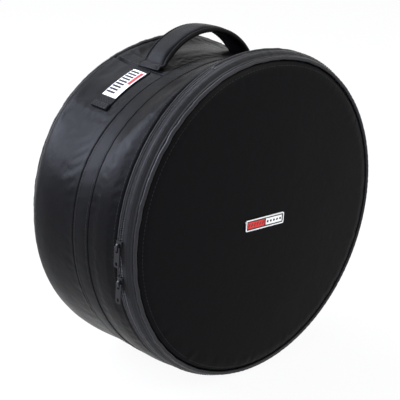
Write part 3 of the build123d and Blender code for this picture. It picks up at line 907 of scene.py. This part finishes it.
for panel, slack in ((front_cloth, 0.002), (rear_cloth, 0.002), (handle_panel_cloth, 0.004)):
    soften(panel, slack)

# Thread
STITCH_SINK = 0.3
TAG_STITCH = {"pitch": 0.0026, "length": 0.0019, "width": 0.00045}
BAR_TACK = {"pitch": 0.0021, "length": 0.002, "width": 0.0005}
ALL_ROUND = np.linspace(0, 360, 1441)


def stitches(line, outward, seed, pitch=0.0042, length=0.0031, width=0.00062):
    """A row of stitches along a line of points; outward is the surface's way at each point."""
    line, outward = np.asarray(line, float), np.asarray(outward, float)
    length_to = length_along(line)
    at = np.arange(pitch / 2, length_to[-1] - pitch / 3, pitch)
    draw = np.random.default_rng(seed)
    at = at + draw.uniform(-0.06, 0.06, len(at)) * pitch

    def value_at(values, places):
        return np.stack([np.interp(places, length_to, values[:, k]) for k in range(3)], 1)

    centre = value_at(line, at)
    along = value_at(line, at + length / 2) - value_at(line, at - length / 2)
    along /= np.linalg.norm(along, axis=1)[:, None]
    out_way = value_at(outward, at)
    out_way -= along * (along * out_way).sum(1)[:, None]
    out_way /= np.linalg.norm(out_way, axis=1)[:, None]
    side = np.cross(out_way, along) * (1 + draw.uniform(-0.1, 0.1, (len(at), 1)))
    lean = draw.uniform(-0.05, 0.05, (len(at), 1))
    frames = np.stack([
        (along + lean * side) * length, side * width, out_way * width * 0.85,
        centre + out_way * width * (0.5 - STITCH_SINK),
    ], 1)
    return scatter("stitch", *BEAD, frames)


def wall_line(clocks, place, lift=0.0):
    """A line on the dressed wall and the way out of the bag at each of its points."""
    clocks, place = np.broadcast_arrays(np.asarray(clocks, float), np.asarray(place, float))
    return around(clocks, wall_surface(clocks, place) + lift, place), outward_at(clocks)


def edge_row(radius, place, way, seed, **more):
    """A row of stitches around an end; way is how far the surface faces outward and along."""
    out_way = outward_at(ALL_ROUND) * way[0] + (0, way[1], 0)
    line = around(ALL_ROUND, sunk(ALL_ROUND, radius, place), place)
    return stitches(line, out_way, seed, **more)


thread_case = [
    stitches(*wall_line(ALL_ROUND, -BAND_WIDTH + 0.0028, 0.0005), 101),
    stitches(*wall_line(ALL_ROUND, -0.0032, 0.0005), 102),
    stitches(*wall_line(ALL_ROUND, WALL_FRONT + 0.0042), 103),
]
along_seam = np.linspace(0.004, WALL_REAR - 0.006, 160)
for side in (-1, 1):
    for k, beside in enumerate((-1.15, 1.15)):
        seam_line = wall_line(side * (PANEL_ANGLE + beside), along_seam)
        thread_case.append(stitches(*seam_line, 110 + k + 2 * side))
tag_edge = np.linspace(TAG_ANGLES[0] - 0.5, TAG_ANGLES[1], 80)
for share in (-0.46, 0.46):
    edge_line = wall_line(tag_edge, TAG_PLACE + TAG_WIDTH * share, TAG_THICKNESS)
    thread_case.append(stitches(*edge_line, 121, **TAG_STITCH))
across_tag = np.linspace(-0.44, 0.44, 30) * TAG_WIDTH + TAG_PLACE
for clock in (-48.3, -48.8, -49.3, -49.8):
    tack_line = wall_line(clock, across_tag, 2 * TAG_THICKNESS)
    thread_case.append(stitches(*tack_line, 131, **BAR_TACK))
case_thread = joined("case_stitches", thread_case)

PANEL_ROW = 0.1812
lid_thread = joined("lid_stitches", [
    edge_row(0.1952, -0.0842, (0.97, -0.25), 141),
    edge_row(PANEL_ROW, -float(crown(PANEL_ROW, FACE)), (0.35, -0.94), 143, pitch=0.0046),
])
back_row = float(crown(PANEL_ROW, BACK_FACE))
back_thread = edge_row(PANEL_ROW, back_row, (0.35, 0.94), 145, pitch=0.0046)
back_thread.name = back_thread.data.name = "back_stitches"

strap_rows = []
outer = np.stack([normal[:, 0], 0 * run, normal[:, 1]], 1)
edge_lift = np.interp(0.9, *HALF_SECTION.T)
for share in (-0.9, 0.9):
    y = np.full(len(run), HANDLE_PLACE + share * half_width)
    for face in (1, -1):
        centre = on_strap(slice(None), face * half * edge_lift, y)
        keep = from_end > (0.004 if face > 0 else 0.016)
        way_out = face * outer[keep]
        strap_rows.append(stitches(centre[keep], way_out, 151 + face, pitch=0.0038, length=0.0028))
y = np.linspace(-0.84, 0.84, 40) * half_width + HANDLE_PLACE
for row in (7, 10, len(path) - 8, len(path) - 11):
    height = half[row] * np.interp(np.abs(y - HANDLE_PLACE) / half_width, *HALF_SECTION.T)
    way_out = np.repeat(outer[row:row + 1], 40, 0)
    foot_row = stitches(on_strap(row, height, y), way_out, 161, pitch=0.003, length=0.0026)
    strap_rows.append(foot_row)
strap_thread = joined("handle_stitches", strap_rows)


# Materials
class Shade:
    """A principled material with a few short calls for its nodes."""

    def __init__(self, name, color, specular):
        self.material = bpy.data.materials.new(name)
        self.material.use_nodes = True
        self.tree = self.material.node_tree
        self.shader = self.tree.nodes["Principled BSDF"]
        self.color = color
        self.feed(self.shader, {"Base Color": (*color, 1), "Specular IOR Level": specular})

    def feed(self, node, inputs):
        """Gives a node's inputs a number or a colour, or the output of another node."""
        for key, value in inputs.items():
            if isinstance(value, bpy.types.NodeSocket):
                self.tree.links.new(value, node.inputs[key])
            else:
                node.inputs[key].default_value = value

    def node(self, kind, inputs, **settings):
        made = self.tree.nodes.new(kind)
        for key, value in settings.items():
            setattr(made, key, value)
        self.feed(made, inputs)
        return made

    def sum(self, operation, *parts):
        return self.node("ShaderNodeMath", dict(enumerate(parts)), operation=operation).outputs[0]

    def sine(self, value, factor):
        return self.sum("SINE", self.sum("MULTIPLY", value, factor))

    def noise(self, where, scale, detail=3.0, roughness=0.55):
        inputs = {"Scale": scale, "Detail": detail, "Roughness": roughness, "Vector": where}
        return self.node("ShaderNodeTexNoise", inputs).outputs["Fac"]

    def span(self, value, low, high):
        """Stretches the middle of a noise over the whole way from low to high."""
        inputs = {"From Min": 0.3, "From Max": 0.7, "To Min": low, "To Max": high, "Value": value}
        return self.node("ShaderNodeMapRange", inputs).outputs["Result"]

    def bump(self, height, distance, strength, **below):
        inputs = {"Distance": distance, "Strength": strength, "Height": height, **below}
        return self.node("ShaderNodeBump", inputs).outputs["Normal"]

    def tint(self, value, dark, light):
        """Colour that goes from a darker to a lighter shade of the base with the given value."""
        ends = [(*(c * share for c in self.color), 1) for share in (dark, light)]
        inputs = {6: ends[0], 7: ends[1], 0: self.span(value, 0, 1)}
        mix = self.node("ShaderNodeMix", inputs, data_type="RGBA")
        self.feed(self.shader, {"Base Color": mix.outputs[2]})


def fabric(
    name, color, roughness, specular, pitch, depth,
    kind="plain", crease=0.0, sheen=0.0, has_uv=True,
):
    """Woven cloth: a weave of the given pitch, soft creases, and wear in its gloss and shade."""
    shade = Shade(name, color, specular)
    if has_uv:
        where = shade.node("ShaderNodeUVMap", {}, uv_map="cloth").outputs[0]
    else:
        where = shade.node("ShaderNodeTexCoord", {}).outputs["Object"]
    split = shade.node("ShaderNodeSeparateXYZ", {0: where})
    x, y = split.outputs[0], split.outputs[1]
    turn = math.pi / pitch
    if kind == "plain":
        weave = shade.sum("MULTIPLY", shade.sine(x, turn), shade.sine(y, turn))
    elif kind == "twill":
        weave = shade.sine(shade.sum("ADD", x, y), turn)
    elif kind == "ribs":
        weave = shade.sine(x, 2 * turn)
    else:
        zigzag = shade.sum("PINGPONG", y, pitch * 4)
        weave = shade.sine(shade.sum("ADD", x, zigzag), turn * 1.4)
    gloss = shade.span(shade.noise(where, 22.0, 4.0), roughness - 0.06, roughness + 0.06)
    shade.tint(shade.noise(where, 420.0, 2.0), 0.82, 1.2)
    normal = shade.bump(weave, depth, 0.5)
    if crease:
        normal = shade.bump(shade.noise(where, 55.0, 5.0, 0.6), crease, 1.0, Normal=normal)
    shade.feed(shade.shader, {
        "Roughness": gloss, "Normal": normal, "Sheen Weight": sheen, "Sheen Roughness": 0.4,
    })
    return shade.material


def hard(name, color, roughness, specular, metallic=0.0, coat=0.0):
    """A moulded or painted piece with fine scratches and uneven gloss."""
    shade = Shade(name, color, specular)
    where = shade.node("ShaderNodeTexCoord", {}).outputs["Object"]
    wear = shade.noise(where, 260.0, 5.0, 0.65)
    shade.tint(shade.noise(where, 90.0), 0.85, 1.15)
    stretched = shade.node("ShaderNodeMapping", {"Scale": (1, 1, 0.12), 0: where})
    scratches = shade.noise(stretched.outputs[0], 2600.0, 2.0)
    shade.feed(shade.shader, {
        "Roughness": shade.span(wear, roughness - 0.07, roughness + 0.12),
        "Normal": shade.bump(scratches, 0.00002, 0.6),
        "Metallic": metallic, "Coat Weight": coat,
    })
    return shade.material


BLACK = (0.0036, 0.0036, 0.0041)
shell = fabric("shell_nylon", BLACK, 0.32, 0.037, 0.0006, 0.00004, crease=0.0005)
# Both end panels get a slightly darker copy of the shell nylon: painted shade on the ends
shaded_pad_nylon = fabric("lid_nylon_painted_shade", (0.0034, 0.0034, 0.0038), 0.36, 0.034, 0.0006, 0.00004, crease=0.0004)
band_cloth = fabric("seam_band_twill", BLACK, 0.36, 0.04, 0.0009, 0.00006, kind="twill")
# The piping's base colour is lighter than the black shell nylon: a painted highlight along the
# rolled cord
painted_highlight_piping = fabric(
    "piping_vinyl_painted_highlight", (0.018, 0.018, 0.02), 0.34, 0.16, 0.0004, 0.00003, crease=0.0003,
)
# The gusset and hinge cloth is lighter than the black shell nylon: a painted highlight on the
# rolled rim
edge = fabric("edge_nylon_painted_highlight", (0.015, 0.015, 0.0165), 0.4, 0.11, 0.0006, 0.00005, crease=0.0004)
# The zip welt is lighter still than the black shell nylon: a painted highlight on its rolled edge
painted_highlight_welt = fabric(
    "welt_nylon_painted_highlight", (0.028, 0.028, 0.0305), 0.4, 0.13, 0.0006, 0.00005, crease=0.0003,
)
tape_cloth = fabric(
    "zip_tape_weave", (0.0042, 0.0042, 0.0046), 0.6, 0.07, 0.0006, 0.00012,
    kind="chevron", sheen=0.01,
)
lining_cloth = fabric(
    "lining_tricot", (0.02, 0.02, 0.022), 0.8, 0.15, 0.0011, 0.00016,
    kind="ribs", crease=0.0006, sheen=0.15,
)
ribbed = fabric(
    "binding_grosgrain", (0.0095, 0.0095, 0.0105), 0.55, 0.2, 0.0012, 0.00018,
    kind="ribs", sheen=0.05,
)
strap_cloth = fabric(
    "handle_nylon", (0.005, 0.005, 0.0057), 0.4, 0.05, 0.0006, 0.0001, crease=0.0004,
)
webbing = fabric(
    "webbing_weave", (0.0042, 0.0042, 0.0047), 0.55, 0.06, 0.0014, 0.0002, kind="twill",
)
printed = fabric("tag_print_weave", (0.74, 0.74, 0.73), 0.6, 0.3, 0.0007, 0.00008)
red_weave = fabric("tag_red_weave", (0.36, 0.022, 0.024), 0.6, 0.3, 0.0007, 0.00008)
dark_weave = fabric("tag_dark_weave", (0.012, 0.012, 0.013), 0.6, 0.2, 0.0007, 0.00008)
thread = fabric(
    "thread", (0.012, 0.012, 0.0135), 0.42, 0.2, 0.0005, 0.00006, kind="twill", has_uv=False,
)
coil_plastic = hard("zip_coil_nylon", (0.009, 0.009, 0.01), 0.32, 0.35)
zip_metal = hard("zip_black_metal", (0.008, 0.008, 0.009), 0.42, 0.2, metallic=0.1, coat=0.02)
pull_metal = hard("pull_grey_metal", (0.01, 0.01, 0.011), 0.45, 0.16, metallic=0.1)
label_rubber = hard("label_pale_rubber", (0.78, 0.78, 0.77), 0.5, 0.35)
label_red_rubber = hard("label_red_rubber", (0.56, 0.022, 0.018), 0.45, 0.35)
label_dark_rubber = hard("label_dark_rubber", (0.012, 0.012, 0.012), 0.5, 0.35)


def make_of(piece, material):
    """Makes a piece of one material only."""
    piece.data.materials.clear()
    piece.data.materials.append(material)


# Who rides on what, what it replaces and what it is made of
for piece, body, replaced, slot_name, material in (
    (front_cloth, "case", ("front_wall", "front_wall_foam"), "shell_cloth", shell),
    (band, "case", ("seam_band",), "seam_band_tape", band_cloth),
    (rear_cloth, "case", ("rear_wall", "rear_wall_foam"), "shell_cloth", shell),
    (handle_panel_cloth, "case", ("handle_panel",), "handle_panel_cloth", shell),
    (lid_skin, "lid", ("lid_panel", "lid_foam"), "shell_cloth", shaded_pad_nylon),
    (back_skin, "case", ("back_panel", "back_foam"), "shell_cloth", shaded_pad_nylon),
    (front_piping, "lid", ("lid_piping",), "piping", painted_highlight_piping),
    (rear_piping, "case", ("back_piping",), "piping", painted_highlight_piping),
    (gusset, "lid", ("lid_gusset",), "edge_cloth", edge),
    (welt, "case", ("zip_welt",), "edge_cloth", painted_highlight_welt),
    (case_tape, "case", ("body_zip_tape",), "zip_tape", tape_cloth),
    (lid_tape, "lid", ("lid_zip_tape",), "zip_tape", tape_cloth),
    (case_coil, "case", ("body_zip_coil",), "zip_coil", coil_plastic),
    (lid_coil, "lid", ("lid_zip_coil",), "zip_coil", coil_plastic),
    (wall_lining, "case", ("wall_lining",), "lining_cloth", lining_cloth),
    (back_lining, "case", ("back_lining",), "lining_cloth", lining_cloth),
    (lid_lining, "lid", ("lid_lining",), "lining_cloth", lining_cloth),
    (mouth_tape, "case", ("mouth_binding",), "binding_tape", ribbed),
    (back_tape, "case", ("back_binding",), "binding_tape", ribbed),
    (lid_tape_inside, "lid", ("lid_binding",), "binding_tape", ribbed),
    (tag, "case", ("side_tag",), "tag_cloth", webbing),
    (tag_fold, "case", ("tag_end",), "webbing", webbing),
    (tag_print, "case", (), "tag_cloth", printed),
    (tag_bars, "case", (), "webbing", dark_weave),
    (tag_stripe, "case", (), "label", red_weave),
    (label_red, "lid", (), "label", label_red_rubber),
    (label_pale, "lid", (), "label", label_rubber),
    (label_marks_red, "lid", (), "label", label_dark_rubber),
    (label_border, "lid", (), "label", label_rubber),
    (label_marks_dark, "lid", (), "label", label_dark_rubber),
    (case_thread, "case", (), "edge_cloth", thread),
    (back_thread, "case", (), "edge_cloth", thread),
    (lid_thread, "lid", (), "edge_cloth", thread),
):
    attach(piece, body)
    if replaced:
        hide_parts(*replaced)
    make_of(piece, material)

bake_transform(hinge)
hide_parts("hinge_strip")
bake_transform(strap)
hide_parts("handle_sleeve", "handle_webbing", "left_handle_end", "right_handle_end")
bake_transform(strap_thread)
for piece, material in ((hinge, edge), (strap, strap_cloth), (strap_thread, thread)):
    make_of(piece, material)

# The label's border is pale, and its recessed floor and its back are dark
FLOOR_ZONE = (-0.09965, -0.0995)
LABEL_BACK = -0.0994
by_node = {"upper_pull": pull_metal, "lower_pull": pull_metal, "front_label": label_rubber}
for name, node in nodes.items():
    make_of(node, by_node.get(name, zip_metal))
label_node = nodes["front_label"]
label_node.data.materials.append(label_dark_rubber)
for face in label_node.data.polygons:
    middle = label_node.matrix_world @ face.center
    if FLOOR_ZONE[0] < middle.y < FLOOR_ZONE[1] or middle.y > LABEL_BACK:
        face.material_index = 1
